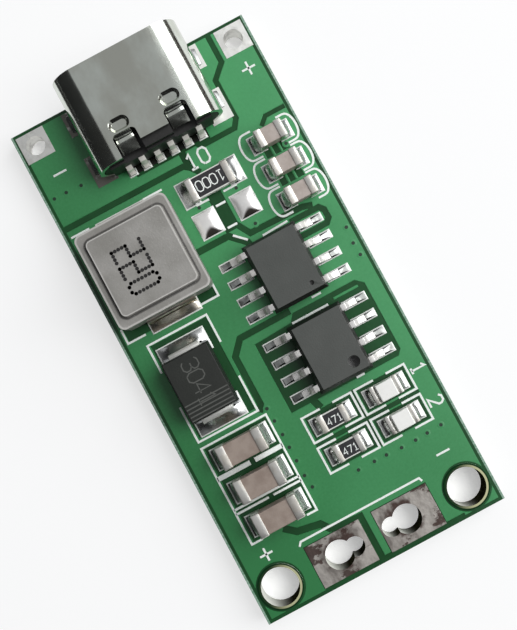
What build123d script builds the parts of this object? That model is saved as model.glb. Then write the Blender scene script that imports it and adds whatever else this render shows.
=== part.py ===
from build123d import *
import os

# Lithium battery charger board with a reversible power socket, millimetres.
# The origin is the middle of the board's underside and +Z points up.
# +Y runs towards the power socket, -Y towards the battery terminals.
# Places along the board are distances from its socket edge.
# Places across it are distances from its centre line.

# Board
board_thickness = 1.6
board_side_margin = 0.31
board_end_margin = 0.35
land_thickness = 0.06
plating_wall = 0.18

# Supply terminals: square lands with a round plated hole, at the socket end
supply_hole_radius = 0.65
supply_hole_side = 1.25
supply_hole_end = 1.2
supply_land_width = 2.0
supply_land_length = 1.95

# Battery corner holes: round plated holes with a thin collar
corner_hole_radius = 1.28
corner_collar = 0.06

# Battery terminals: wide lands with a keyhole slot for two connector pitches
battery_land_width = 4.0
battery_land_length = 2.95
battery_land_gap = 0.95
battery_land_shift = 0.12
battery_hole_gap = 0.875
battery_row_gap = 2.05
keyhole_large_radius = 0.98
keyhole_small_radius = 0.66
keyhole_large_pitch = 4.95
keyhole_small_pitch = 2.7

# Power socket shell, folded from sheet steel
shell_width = 8.94
shell_height = 3.16
shell_wall = 0.3
shell_length = 6.6
shell_inset = 5.5
shell_seam = 0.1
leg_width = 0.8
leg_depth = 1.2
front_leg_from_edge = 1.1
rear_leg_from_edge = 4.3
notch_side = 1.87
notch_depth = 0.55
window_inner = 1.0
window_depth = 1.5
window_corner = 0.3
tab_step = 0.3
tab_step_run = 0.15
tab_ledge = 0.25
tab_reach = 1.2
tab_drop = 0.6
tab_clearance = 0.2
tab_shift = 0.1
dimple_length = 1.4
dimple_width = 0.9
dimple_depth = 0.2
dimple_from_window = 0.53

# Plated slots that the shell's legs stand in
slot_side_clearance = 0.15
slot_end_clearance = 0.22
slot_land_width = 1.5
front_slot_land_length = 1.7
rear_slot_land_length = 2.2
rear_slot_land_shift = 0.35
leg_solder_climb = 0.45
leg_solder_run = 0.42

# Insulator and tongue inside the shell
insulator_clearance = 0.05
insulator_depth = 1.45
insulator_overhang = 0.15
insulator_rear_side = 0.82
insulator_rear_height = 2.35
tongue_side_gap = 0.825
tongue_thickness = 0.7
tongue_setback = 1.0
tongue_chamfer = 0.2
mid_plate_thickness = 0.15
mid_plate_notch = 0.35
mid_plate_setback = 0.25

# Six socket contacts
contact_width = 0.42
contact_thickness = 0.15
contact_bend = 0.25
contact_tip_setback = 0.5
contact_reach = 0.1
contact_foot = 0.32
contact_side_gap = 0.66
contact_count = 6
contact_land_width = 0.62
contact_land_heel = 0.1
contact_land_toe = 0.1
contact_solder_climb = 0.12
contact_solder_run = 0.1

# Moulded inductor
inductor_x = -4.6
inductor_from_edge = 11.75
inductor_width = 6.5
inductor_length = 6.7
inductor_height = 2.95
inductor_lift = 0.08
inductor_corner = 0.45
inductor_crown_width = 5.58
inductor_crown_length = 5.54
inductor_step = 0.28
inductor_terminal_width = 3.5
inductor_terminal_thickness = 0.2
inductor_terminal_rise = 1.1
inductor_terminal_foot = 1.5
inductor_terminal_bend = 0.25
inductor_front_toe = 0.45
inductor_rear_toe = 0.7
inductor_land_side = 0.1
inductor_solder_climb = 0.5
inductor_solder_run = 0.4

# Catch diode
diode_x = -5.09
diode_from_edge = 20.21
diode_width = 3.4
diode_length = 4.35
diode_height = 2.2
diode_lift = 0.1
diode_draft = 5
diode_lead_width = 2.2
diode_lead_thickness = 0.2
diode_lead_reach = 0.32
diode_lead_foot = 0.9
diode_lead_bend = 0.25
diode_land_toe = 0.75
diode_land_side = 0.65
diode_solder_climb = 0.7
diode_solder_run = 0.62

# Eight-lead chips: the charge controller and the power transistor pair
chip_length = 4.85
chip_width = 3.85
chip_height = 1.45
chip_lift = 0.12
chip_draft = 20
chip_bottom_share = 0.55
lead_pitch = 1.27
lead_width = 0.42
lead_thickness = 0.2
lead_bend = 0.1
lead_root = 0.15
lead_shoulder = 0.28
lead_foot = 0.6
lead_span = 6.0
lead_land_width = 0.62
lead_land_heel = 0.35
lead_land_toe = 0.8
lead_solder_climb = 0.16
lead_solder_run = 0.4
controller_x = 3.22
controller_from_edge = 16.25
controller_dot_radius = 0.16
controller_dot_side = 1.0
controller_dot_end = 0.7
transistor_x = 3.3
transistor_from_edge = 22.2
transistor_dot_radius = 0.38
transistor_dot_side = 0.9
transistor_dot_end = 0.95
dot_depth = 0.08

# Chip capacitors and resistors: a core with a bright cap on each end
cap_wall = 0.06
cap_bevel = 0.05
solder_hollow = 0.3
coating_thickness = 0.04
coating_margin = 0.14

# Current sensing resistor and the two open lands beside it
sense_x = 1.6
sense_from_edge = 8.9
sense_length = 3.2
sense_width = 1.6
sense_height = 0.6
sense_cap = 0.5
sense_land_toe = 0.68
sense_land_width = 1.88
sense_land_point = 0.3
open_land_width = 1.65
open_land_length = 1.85
open_land_pitch = 2.8
open_land_from_edge = 11.25
open_blob_height = 0.22

# Three input capacitors
input_cap_x = 6.5
input_cap_from_edge = 8.15
input_cap_pitch = 2.09
input_cap_count = 3
input_cap_length = 2.0
input_cap_width = 1.25
input_cap_height = 1.25
input_cap_end = 0.5
input_cap_land_toe = 0.52
input_cap_land_width = 1.3

# Three output capacitors
output_cap_x = -4.75
output_cap_from_edge = 25.17
output_cap_pitch = 2.44
output_cap_count = 3
output_cap_length = 3.2
output_cap_width = 1.6
output_cap_height = 1.6
output_cap_end = 0.6
output_cap_land_toe = 0.5
output_cap_land_width = 1.55

# Two status lights with their resistors
light_row_from_edge = 26.36
light_row_pitch = 2.17
light_count = 2
light_x = 5.25
light_length = 2.0
light_width = 1.25
light_base_height = 0.35
light_lens_length = 1.3
light_lens_height = 0.45
light_lens_draft = 6
light_end_length = 0.32
light_end_wall = 0.05
light_resistor_x = 1.33
light_resistor_length = 2.0
light_resistor_width = 1.25
light_resistor_height = 0.5
light_resistor_cap = 0.42
light_land_toe = 0.52
light_land_width = 1.25

# The board is as wide as its battery row and as long as its parts and that row
corner_radius = corner_hole_radius + plating_wall + corner_collar
corner_hole_x = battery_land_gap / 2 + battery_land_width + battery_hole_gap + corner_radius
board_width = 2 * (corner_hole_x + corner_radius + board_side_margin)
last_cap_row = output_cap_from_edge + (output_cap_count - 1) * output_cap_pitch
battery_row = last_cap_row + output_cap_width / 2 + battery_row_gap + battery_land_length / 2
board_length = battery_row + battery_land_length / 2 + board_end_margin

# Levels and edges that everything else is measured from
board_top = board_thickness
land_top = board_top + land_thickness
socket_edge = board_length / 2
shell_rear = socket_edge - shell_inset
shell_front = shell_rear + shell_length
shell_centre = board_top + shell_height / 2
slot_offset = (shell_width - shell_wall) / 2
slot_width = shell_wall + 2 * slot_side_clearance
slot_length = leg_width + 2 * slot_end_clearance
notch_half_width = shell_width / 2 - notch_side
tongue_width = shell_width - 2 * (shell_wall + tongue_side_gap)
contact_row = slot_offset - (slot_land_width + contact_land_width) / 2 - contact_side_gap
contact_pitch = 2 * contact_row / (contact_count - 1)


def along(distance):
    """Y of a place that lies this far from the socket edge."""
    return socket_edge - distance


def block(x0, x1, y0, y1, z0, z1):
    """Block between two opposite corners."""
    centre = ((x0 + x1) / 2, (y0 + y1) / 2, (z0 + z1) / 2)
    return Pos(*centre) * Box(x1 - x0, y1 - y0, z1 - z0)


def oval(length, width):
    """Oval outline, its long side along X unless the width is larger."""
    if width > length:
        return Rot(0, 0, 90) * SlotOverall(width, length)
    return SlotOverall(length, width)


def bent_strip(points, radius, thickness, width):
    """Strip bent in the XZ plane, its thickness on the right of the path."""
    path = FilletPolyline(*points, radius=radius)
    ribbon = make_face(offset(path, amount=thickness, side=Side.RIGHT))
    return extrude(Plane.XZ * ribbon, amount=width / 2, both=True)


def creased_strip(points, bend, thickness, width, side=Side.RIGHT):
    """Small strip bent in the XZ plane, with one flat at each bend to keep many copies light."""
    path = Polyline(*points)
    path = Wire(path.edges()).chamfer_2d(bend, bend, path.vertices()[1:-1])
    ribbon = make_face(offset(path, amount=thickness, kind=Kind.INTERSECTION, side=side))
    return extrude(Plane.XZ * ribbon, amount=width / 2, both=True)


def solder_wedge(face, climb, run, width):
    """Hollow-faced fillet of solder against the plane x = face, standing on a land."""
    corner = (face, land_top)
    top = (face, land_top + climb)
    foot = (face + run, land_top)
    hollow = (face + solder_hollow * run, land_top + solder_hollow * climb)
    outline = make_face(Polyline(corner, top, hollow, foot, close=True))
    return extrude(Plane.XZ * outline, amount=width / 2, both=True)


def solder_joint(inner, face, outer, land_width, climb, run, solder_width):
    """Tinned land from inner to outer along X, with solder up the face at x = face."""
    land = block(inner, outer, -land_width / 2, land_width / 2, board_top, land_top)
    return land + solder_wedge(face, climb, run, solder_width)


def both_ends(piece):
    """The piece and its copy turned half round the Z axis."""
    return [piece, Rot(0, 0, 180) * piece]


def placed(pieces, place):
    """Every piece moved by the same place."""
    return [place * piece for piece in pieces]


def rows(pieces, x, first, pitch, count):
    """The pieces repeated in a column of count rows along the board."""
    found = []
    for i in range(count):
        found += placed(pieces, Pos(x, along(first + i * pitch), 0))
    return found


def end_cap(length, width, height, reach):
    """Five-sided metal cap on the +X end of a chip part that stands on its land."""
    cap = block(length / 2 - reach, length / 2, -width / 2, width / 2, land_top, land_top + height)
    end_face = cap.faces().sort_by(Axis.X)[-1]
    rim = cap.edges().filter_by(Axis.X) + end_face.edges()
    return chamfer(rim, cap_bevel) - chip_core(length, width, height)


def chip_core(length, width, height):
    """Ceramic core that fills the two end caps."""
    half = length / 2 - cap_wall
    side = width / 2 - cap_wall
    return block(-half, half, -side, side, land_top + cap_wall, land_top + height - cap_wall)


def coating(length, width, height, reach):
    """Dark protective coat on top of a resistor, between its caps."""
    half = length / 2 - reach
    side = width / 2 - coating_margin
    top = land_top + height - cap_wall
    return block(-half, half, -side, side, top, top + coating_thickness)


def chip_joints(length, width, reach, toe, land_width, climb):
    """The two soldered lands of a chip part."""
    face = length / 2
    joint = solder_joint(face - reach, face, face + toe, land_width, climb, 0.8 * toe, 0.9 * width)
    return both_ends(joint)


def plated_hole(land, bore):
    """Plated hole: tinned land on both sides of the board and a wall between them."""
    barrel = offset(bore, amount=plating_wall)
    upper = extrude(Pos(0, 0, board_top) * land, amount=land_thickness)
    lower = extrude(land, amount=land_thickness)
    wall = extrude(barrel, amount=board_top)
    return upper + lower + wall - extrude(bore, amount=land_top)


def plated_hole_cut(land, bore):
    """Room that a plated hole takes in the laminate."""
    barrel = offset(bore, amount=plating_wall)
    return extrude(land, amount=land_thickness) + extrude(barrel, amount=board_top)


def supply_outline(side, turn=0):
    """Land and bore of the supply terminal on one side; turn moves the circle's start."""
    place = Pos(side * (board_width / 2 - supply_hole_side), along(supply_hole_end))
    bore = place * Rot(0, 0, turn) * Circle(supply_hole_radius)
    return place * Rectangle(supply_land_width, supply_land_length), bore


def corner_outline(side, turn=0):
    """Collar and bore of the battery corner hole on one side; turn moves the circles' start."""
    place = Pos(side * corner_hole_x, along(battery_row)) * Rot(0, 0, turn)
    return place * Circle(corner_radius), place * Circle(corner_hole_radius)


def battery_outline(side):
    """Land and keyhole of the battery terminal on one side."""
    y = along(battery_row)
    x = side * (battery_land_gap + battery_land_width) / 2 + battery_land_shift
    land = Pos(x, y) * Rectangle(battery_land_width, battery_land_length)
    large = Pos(side * keyhole_large_pitch / 2, y) * Circle(keyhole_large_radius)
    small = Pos(side * keyhole_small_pitch / 2, y) * Circle(keyhole_small_radius)
    return land, large + small


def leg_slot_outlines():
    """Land and slot of each of the four shell legs."""
    found = []
    for side in (-1, 1):
        front = Pos(side * slot_offset, along(front_leg_from_edge))
        rear = Pos(side * slot_offset, along(rear_leg_from_edge))
        rear_land = Pos(side * slot_offset, along(rear_leg_from_edge + rear_slot_land_shift))
        slot = oval(slot_width, slot_length)
        found.append((front * Rectangle(slot_land_width, front_slot_land_length), front * slot))
        found.append((rear_land * Rectangle(slot_land_width, rear_slot_land_length), rear * slot))
    return found


def circuit_board():
    """Laminate with room for its plated holes."""
    board = Pos(0, 0, board_thickness / 2) * Box(board_width, board_length, board_thickness)
    outlines = leg_slot_outlines()
    for side in (-1, 1):
        outlines += [supply_outline(side), corner_outline(side), battery_outline(side)]
    for land, bore in outlines:
        board -= plated_hole_cut(land, bore)
    return board


def across(outline, y0, y1, z):
    """An outline across the board, as high below its middle as above, run from y0 to y1."""
    start = Plane(origin=(0, y0, z), x_dir=(1, 0, 0), z_dir=(0, 1, 0))
    return extrude(start * outline, amount=y1 - y0)


def shell_dimple(side):
    """Pressed oval dimple in the top of the shell, above a latch window."""
    x = side * (window_inner + notch_half_width) / 2
    y = shell_rear + window_depth + dimple_from_window
    top = board_top + shell_height
    outline = Pos(x, y, top) * oval(dimple_length, dimple_width)
    return extrude(outline, amount=-dimple_depth, taper=45)


def latch_tab(side):
    """Tab with a step and a short ledge below a latch window's front edge, that slopes to the rear."""
    y = shell_rear + window_depth
    inner_top = board_top + shell_height - shell_wall
    ledge = inner_top - tab_step
    ledge_end = tab_step_run + tab_ledge
    points = ((shell_wall, inner_top), (0, inner_top), (-tab_step_run, ledge), (-ledge_end, ledge),
              (-tab_reach, inner_top - tab_drop))
    width = notch_half_width - window_inner - 2 * tab_clearance
    strip = bent_strip(points, shell_wall, shell_wall / 2, width)
    x = side * (window_inner + notch_half_width) / 2 - tab_shift
    return Pos(x, y, 0) * Rot(0, 0, 90) * strip


def socket_shell():
    """Oval tube of folded steel with a seam, four legs, latch windows and dimples."""
    outer = oval(shell_width, shell_height)
    inner = oval(shell_width - 2 * shell_wall, shell_height - 2 * shell_wall)
    shell = across(outer - inner, shell_rear, shell_front, shell_centre)
    shell -= block(-shell_seam / 2, shell_seam / 2, shell_rear, shell_front, board_top, shell_centre)
    roof = (shell_centre, board_top + shell_height)
    notch_front = shell_rear + notch_depth
    shell -= block(-notch_half_width, notch_half_width, shell_rear, notch_front, *roof)
    for side in (-1, 1):
        x0, x1 = sorted((side * window_inner, side * notch_half_width))
        window = block(x0, x1, shell_rear, shell_rear + window_depth, *roof)
        front_edges = window.faces().sort_by(Axis.Y)[-1].edges().filter_by(Axis.Z)
        shell -= fillet(front_edges, window_corner)
        shell -= shell_dimple(side)
    for side in (-1, 1):
        shell += latch_tab(side)
        for distance in (front_leg_from_edge, rear_leg_from_edge):
            x0, x1 = sorted((side * shell_width / 2, side * (shell_width / 2 - shell_wall)))
            y = along(distance)
            shell += block(x0, x1, y - leg_width / 2, y + leg_width / 2, board_top - leg_depth, shell_centre)
    return shell


def socket_contact(x, side):
    """Contact along one face of the tongue, out of the back and down to its land."""
    level = shell_centre + side * (tongue_thickness / 2)
    if side > 0:
        level -= contact_thickness
    tip = shell_front - tongue_setback - contact_tip_setback
    back = shell_rear - insulator_overhang - contact_reach
    points = ((tip, level), (back, level), (back, land_top), (back - contact_foot, land_top))
    strip = creased_strip(points, contact_bend, contact_thickness, contact_width)
    return Pos(x, 0, 0) * Rot(0, 0, 90) * strip


def contact_places():
    """Places of the contacts across the socket."""
    return [i * contact_pitch - contact_row for i in range(contact_count)]


def socket_contacts():
    """Contacts, by turns on the upper and the lower face of the tongue."""
    return [socket_contact(x, 1 if i % 2 else -1) for i, x in enumerate(contact_places())]


def socket_mid_plate():
    """Steel plate in the middle of the tongue, with a latch notch on each side."""
    tip = shell_front - tongue_setback - mid_plate_setback
    root = shell_rear + insulator_depth / 2
    half = mid_plate_thickness / 2
    side = tongue_width / 2
    plate = block(-side, side, root, tip, shell_centre - half, shell_centre + half)
    notch = Cylinder(mid_plate_notch, 2 * mid_plate_thickness)
    middle = (shell_rear + insulator_depth + tip) / 2
    for place in (-side, side):
        plate -= Pos(place, middle, shell_centre) * notch
    return plate


def socket_insulator():
    """Black moulding: a plug in the back of the shell with a tongue in front."""
    room = 2 * (shell_wall + insulator_clearance)
    plug = across(oval(shell_width - room, shell_height - room), shell_rear,
                  shell_rear + insulator_depth, shell_centre)
    back = shell_rear - insulator_overhang
    foot = board_top + shell_wall + insulator_clearance
    half = shell_width / 2 - insulator_rear_side
    roof = board_top + insulator_rear_height
    heel = block(-half, half, back, shell_rear, foot, roof)
    tip = shell_front - tongue_setback
    thick = tongue_thickness / 2
    tongue = block(-tongue_width / 2, tongue_width / 2, shell_rear + insulator_depth / 2, tip,
                   shell_centre - thick, shell_centre + thick)
    tip_edges = tongue.faces().sort_by(Axis.Y)[-1].edges().filter_by(Axis.X)
    body = plug + heel + chamfer(tip_edges, tongue_chamfer)
    pocket_front = shell_rear + insulator_depth
    for side in (-1, 1):
        x0, x1 = sorted((side * window_inner, side * notch_half_width))
        floor = board_top + shell_height - shell_wall - tab_drop - tab_clearance - insulator_clearance
        body -= block(x0, x1, back, pocket_front, floor, board_top + shell_height)
    for piece in socket_contacts() + [socket_mid_plate()]:
        body -= piece
    return body


def contact_joints():
    """Tinned lands under the feet of the six contacts."""
    heel = insulator_overhang + contact_reach - contact_land_heel
    toe = insulator_overhang + contact_reach + contact_foot
    joint = solder_joint(heel, toe, toe + contact_land_toe, contact_land_width,
                         contact_solder_climb, contact_solder_run, contact_width)
    turned = Pos(0, shell_rear, 0) * Rot(0, 0, -90) * joint
    return [Pos(x, 0, 0) * turned for x in contact_places()]


def leg_joints():
    """Solder fillets on the outer faces of the four shell legs."""
    wedge = solder_wedge(shell_width / 2, leg_solder_climb, leg_solder_run, slot_length)
    found = []
    for distance in (front_leg_from_edge, rear_leg_from_edge):
        for turn in (0, 180):
            found.append(Pos(0, along(distance), 0) * Rot(0, 0, turn) * wedge)
    return found


def inductor_terminals():
    """Two flat terminals that leave the sides, go down and turn in below the body."""
    half = inductor_length / 2
    out = half + inductor_terminal_thickness
    rise = land_top + inductor_terminal_rise
    root = half - 2 * inductor_terminal_thickness
    points = ((root, rise), (out, rise), (out, land_top), (half - inductor_terminal_foot, land_top))
    strip = bent_strip(points, inductor_terminal_bend, inductor_terminal_thickness,
                       inductor_terminal_width)
    place = Pos(inductor_x, along(inductor_from_edge), 0) * Rot(0, 0, 90)
    return placed(both_ends(strip), place)


def inductor_body():
    """Moulded block with rounded corners and a raised top, seated on its terminals."""
    shoulder_top = land_top + inductor_height - inductor_step
    foot = land_top + inductor_lift
    lower = extrude(Pos(0, 0, foot) * RectangleRounded(inductor_width, inductor_length, inductor_corner),
                    amount=shoulder_top - foot)
    crown = RectangleRounded(inductor_crown_width, inductor_crown_length, inductor_corner)
    upper = extrude(Pos(0, 0, shoulder_top) * crown, amount=inductor_step, taper=20)
    body = Pos(inductor_x, along(inductor_from_edge), 0) * (lower + upper)
    for terminal in inductor_terminals():
        body -= terminal
    return body


def inductor_joints():
    """Lands of the inductor with solder up its terminals."""
    face = inductor_length / 2 + inductor_terminal_thickness
    inner = inductor_length / 2 - inductor_terminal_foot
    width = inductor_terminal_width + 2 * inductor_land_side
    found = []
    for toe, turn in ((inductor_front_toe, 90), (inductor_rear_toe, -90)):
        joint = solder_joint(inner, face, face + toe, width, inductor_solder_climb,
                             inductor_solder_run, inductor_terminal_width)
        found.append(Pos(inductor_x, along(inductor_from_edge), 0) * Rot(0, 0, turn) * joint)
    return found


def moulded_block(length, width, lift, height, bottom_share, draft):
    """Moulded plastic body that tapers up and down from its parting line."""
    foot = land_top + lift
    parting = foot + bottom_share * height
    outline = Rectangle(width, length)
    upper = extrude(Pos(0, 0, parting) * outline, amount=foot + height - parting, taper=draft)
    lower = extrude(Pos(0, 0, parting) * outline, amount=foot - parting, taper=draft)
    return upper + lower


def diode_leads():
    """Two leads that leave the ends, go down and turn in below the body."""
    half = diode_length / 2
    out = half + diode_lead_reach
    rise = land_top + diode_lift + diode_height / 2
    root = half - diode_lead_thickness
    points = ((root, rise), (out, rise), (out, land_top), (out - diode_lead_foot, land_top))
    strip = bent_strip(points, diode_lead_bend, diode_lead_thickness, diode_lead_width)
    place = Pos(diode_x, along(diode_from_edge), 0) * Rot(0, 0, 90)
    return placed(both_ends(strip), place)


def diode_body():
    """Moulded body of the diode, relieved below for the turned-in leads."""
    body = moulded_block(diode_length, diode_width, diode_lift, diode_height, 0.5, diode_draft)
    half = diode_length / 2
    relief = land_top + diode_lead_thickness + insulator_clearance
    for y0, y1 in ((-half, diode_lead_foot - half), (half - diode_lead_foot, half)):
        body -= block(-diode_width / 2, diode_width / 2, y0, y1, board_top, relief)
    body = Pos(diode_x, along(diode_from_edge), 0) * body
    for lead in diode_leads():
        body -= lead
    return body


def diode_joints():
    """Lands of the diode with solder that narrows away from each lead."""
    face = diode_length / 2 + diode_lead_reach
    width = diode_lead_width + 2 * diode_land_side
    joint = solder_joint(face - diode_lead_foot, face, face + diode_land_toe, width,
                         diode_solder_climb, diode_solder_run, diode_lead_width)
    place = Pos(diode_x, along(diode_from_edge), 0) * Rot(0, 0, 90)
    return placed(both_ends(joint), place)


def lead_places():
    """Places of the leads along one side of an eight-lead chip."""
    return [(i - 1.5) * lead_pitch for i in range(4)]


def chip_leads(place):
    """Eight gull-wing leads."""
    side = chip_width / 2
    level = land_top + chip_lift + chip_bottom_share * chip_height
    toe = lead_span / 2
    points = ((side - lead_root, level), (side + lead_shoulder, level),
              (toe - lead_foot, land_top), (toe, land_top))
    lead = creased_strip(points, lead_bend, lead_thickness, lead_width, Side.LEFT)
    found = []
    for y in lead_places():
        found += placed(both_ends(Pos(0, y, 0) * lead), place)
    return found


def chip_body(place, dot_radius, dot_side, dot_end):
    """Moulded chip body with its first-lead dot."""
    body = moulded_block(chip_length, chip_width, chip_lift, chip_height, chip_bottom_share, chip_draft)
    top = land_top + chip_lift + chip_height
    dot = Pos(dot_side, dot_end - chip_length / 2, top - dot_depth / 2) * Cylinder(dot_radius, dot_depth)
    body = place * (body - dot)
    for lead in chip_leads(place):
        body -= lead
    return body


def lead_joints(place):
    """Lands of the eight leads with solder up their toes."""
    toe = lead_span / 2
    joint = solder_joint(toe - lead_foot - lead_land_heel, toe, toe + lead_land_toe,
                         lead_land_width, lead_solder_climb, lead_solder_run, lead_width)
    found = []
    for y in lead_places():
        found += placed(both_ends(Pos(0, y, 0) * joint), place)
    return found


def sense_joints():
    """Lands of the sensing resistor: a square one and one with a point."""
    face = sense_length / 2
    left, right = chip_joints(sense_length, sense_width, sense_cap, sense_land_toe,
                              sense_land_width, 0.6 * sense_height)[::-1]
    outer = face + sense_land_toe
    half = sense_land_width / 2
    for side in (-1, 1):
        corner = Polyline((outer, side * half), (outer - sense_land_point, side * half),
                          (outer, side * sense_land_point / 2), close=True)
        right -= extrude(Pos(0, 0, board_top) * make_face(corner), amount=land_thickness)
    return placed([left, right], Pos(sense_x, along(sense_from_edge), 0))


def open_lands():
    """Two open tinned lands with a low cushion of solder."""
    found = []
    for side in (-1, 1):
        land = extrude(Pos(0, 0, board_top) * Rectangle(open_land_width, open_land_length),
                       amount=land_thickness)
        cushion = Rectangle(open_land_width - 2 * land_thickness, open_land_length - 2 * land_thickness)
        blob = extrude(Pos(0, 0, land_top) * cushion, amount=open_blob_height, taper=60)
        place = Pos(sense_x + side * open_land_pitch / 2, along(open_land_from_edge), 0)
        found.append(place * (land + blob))
    return found


def light_end():
    """Bright clip round the +X end of a status light's base."""
    outer = light_length / 2
    inner = outer - light_end_length
    wall = light_end_wall
    side = light_width / 2
    clip = block(inner, outer, -side, side, land_top, land_top + light_base_height)
    return clip - light_base()


def light_base():
    """Base plate of a status light, held between its two end clips."""
    half = light_length / 2 - light_end_wall
    side = light_width / 2
    return block(-half, half, -side, side, land_top + light_end_wall,
                 land_top + light_base_height - light_end_wall)


def light_lens():
    """Clear moulded lens on the base plate."""
    top = land_top + light_base_height - light_end_wall
    outline = Rectangle(light_lens_length, light_width)
    return extrude(Pos(0, 0, top) * outline, amount=light_lens_height, taper=light_lens_draft)


def save(name, solids):
    """Write one named piece, or a group of like pieces, as a STEP file."""
    shape = solids[0] if len(solids) == 1 else Compound(children=list(solids))
    shape.label = name
    export_step(shape, f"parts/{name}.step")


def board_pieces():
    """Laminate and the plated holes in it."""
    save("circuit_board", [circuit_board()])
    save("supply_ground_terminal", [plated_hole(*supply_outline(-1, turn=45))])
    save("supply_positive_terminal", [plated_hole(*supply_outline(1, turn=45))])
    save("battery_positive_hole", [plated_hole(*corner_outline(-1, turn=45))])
    save("battery_ground_hole", [plated_hole(*corner_outline(1, turn=45))])
    save("battery_positive_terminal", [plated_hole(*battery_outline(-1))])
    save("battery_ground_terminal", [plated_hole(*battery_outline(1))])
    save("socket_leg_slots", [plated_hole(*outline) for outline in leg_slot_outlines()])


def socket_pieces():
    """Power socket with its solder."""
    save("socket_shell", [socket_shell()])
    save("socket_insulator", [socket_insulator()])
    save("socket_contacts", socket_contacts())
    save("socket_mid_plate", [socket_mid_plate()])
    save("socket_leg_solder", leg_joints())
    save("socket_contact_joints", contact_joints())


def power_pieces():
    """Inductor, diode, sensing resistor and the open lands."""
    save("inductor_body", [inductor_body()])
    save("inductor_terminals", inductor_terminals())
    save("inductor_joints", inductor_joints())
    save("diode_body", [diode_body()])
    save("diode_leads", diode_leads())
    save("diode_joints", diode_joints())
    place = Pos(sense_x, along(sense_from_edge), 0)
    save("sense_resistor_core", [place * chip_core(sense_length, sense_width, sense_height)])
    caps = both_ends(end_cap(sense_length, sense_width, sense_height, sense_cap))
    save("sense_resistor_caps", placed(caps, place))
    save("sense_resistor_coat", [place * coating(sense_length, sense_width, sense_height, sense_cap)])
    save("sense_resistor_joints", sense_joints())
    save("open_solder_lands", open_lands())


def chip_pieces():
    """The two eight-lead chips."""
    controller = Pos(controller_x, along(controller_from_edge), 0)
    transistor = Pos(transistor_x, along(transistor_from_edge), 0)
    save("controller_body", [chip_body(controller, controller_dot_radius, controller_dot_side,
                                       controller_dot_end)])
    save("controller_leads", chip_leads(controller))
    save("controller_joints", lead_joints(controller))
    save("transistor_body", [chip_body(transistor, transistor_dot_radius, transistor_dot_side,
                                       transistor_dot_end)])
    save("transistor_leads", chip_leads(transistor))
    save("transistor_joints", lead_joints(transistor))


def capacitor_pieces():
    """Input and output capacitors."""
    place = (input_cap_x, input_cap_from_edge, input_cap_pitch, input_cap_count)
    size = (input_cap_length, input_cap_width, input_cap_height)
    save("input_capacitor_cores", rows([chip_core(*size)], *place))
    save("input_capacitor_caps", rows(both_ends(end_cap(*size, input_cap_end)), *place))
    joints = chip_joints(input_cap_length, input_cap_width, input_cap_end, input_cap_land_toe,
                         input_cap_land_width, 0.6 * input_cap_height)
    save("input_capacitor_joints", rows(joints, *place))
    place = (output_cap_x, output_cap_from_edge, output_cap_pitch, output_cap_count)
    size = (output_cap_length, output_cap_width, output_cap_height)
    save("output_capacitor_cores", rows([chip_core(*size)], *place))
    save("output_capacitor_caps", rows(both_ends(end_cap(*size, output_cap_end)), *place))
    joints = chip_joints(output_cap_length, output_cap_width, output_cap_end, output_cap_land_toe,
                         output_cap_land_width, 0.6 * output_cap_height)
    save("output_capacitor_joints", rows(joints, *place))


def light_pieces():
    """Status lights and their resistors."""
    place = (light_x, light_row_from_edge, light_row_pitch, light_count)
    save("status_light_bases", rows([light_base()], *place))
    save("status_light_lenses", rows([light_lens()], *place))
    save("status_light_ends", rows(both_ends(light_end()), *place))
    joints = chip_joints(light_length, light_width, light_end_length, light_land_toe,
                         light_land_width, light_base_height)
    save("status_light_joints", rows(joints, *place))
    place = (light_resistor_x, light_row_from_edge, light_row_pitch, light_count)
    size = (light_resistor_length, light_resistor_width, light_resistor_height)
    save("light_resistor_cores", rows([chip_core(*size)], *place))
    save("light_resistor_caps", rows(both_ends(end_cap(*size, light_resistor_cap)), *place))
    save("light_resistor_coats", rows([coating(*size, light_resistor_cap)], *place))
    joints = chip_joints(light_resistor_length, light_resistor_width, light_resistor_cap,
                         light_land_toe, light_land_width, 0.6 * light_resistor_height)
    save("light_resistor_joints", rows(joints, *place))


os.makedirs("parts", exist_ok=True)
board_pieces()
socket_pieces()
power_pieces()
chip_pieces()
capacitor_pieces()
light_pieces()
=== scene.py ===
import bmesh
import bpy
import math
from mathutils import Matrix, Vector


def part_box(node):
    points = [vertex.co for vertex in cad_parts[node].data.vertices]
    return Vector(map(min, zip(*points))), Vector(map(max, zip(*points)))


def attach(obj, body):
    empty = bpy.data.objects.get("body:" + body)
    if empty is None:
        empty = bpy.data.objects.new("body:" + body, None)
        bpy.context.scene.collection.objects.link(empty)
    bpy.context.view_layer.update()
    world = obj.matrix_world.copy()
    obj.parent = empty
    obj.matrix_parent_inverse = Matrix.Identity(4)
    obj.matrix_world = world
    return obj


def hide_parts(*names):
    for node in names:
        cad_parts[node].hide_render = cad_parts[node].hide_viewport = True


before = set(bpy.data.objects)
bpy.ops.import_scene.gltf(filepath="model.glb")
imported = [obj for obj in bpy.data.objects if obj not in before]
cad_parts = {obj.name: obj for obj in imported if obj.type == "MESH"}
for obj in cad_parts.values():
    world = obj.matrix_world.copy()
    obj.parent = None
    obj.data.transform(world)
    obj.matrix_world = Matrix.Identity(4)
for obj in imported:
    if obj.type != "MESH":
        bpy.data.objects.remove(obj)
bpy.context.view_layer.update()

# The studio: a close camera above the board, a big soft panel on its right, dark
# cards on its left and at its battery end, a brown card low on its right, an even
# grey room, and a white table that is greyer under the board.
MM = 0.001
CAMERA_PLACE = (0.3, -2.2, 61.6)
CAMERA_AHEAD = Vector((-0.00093, 0.03621, -0.99934))
CAMERA_RIGHT = Vector((0.88044, -0.47381, -0.01799))
CAMERA_LENS = 52.21
TABLE_SIZE = 900
TABLE_DROP = 0.02
TABLE_GLOW = 0.685
ROOM_LEVEL = 0.43


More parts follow.
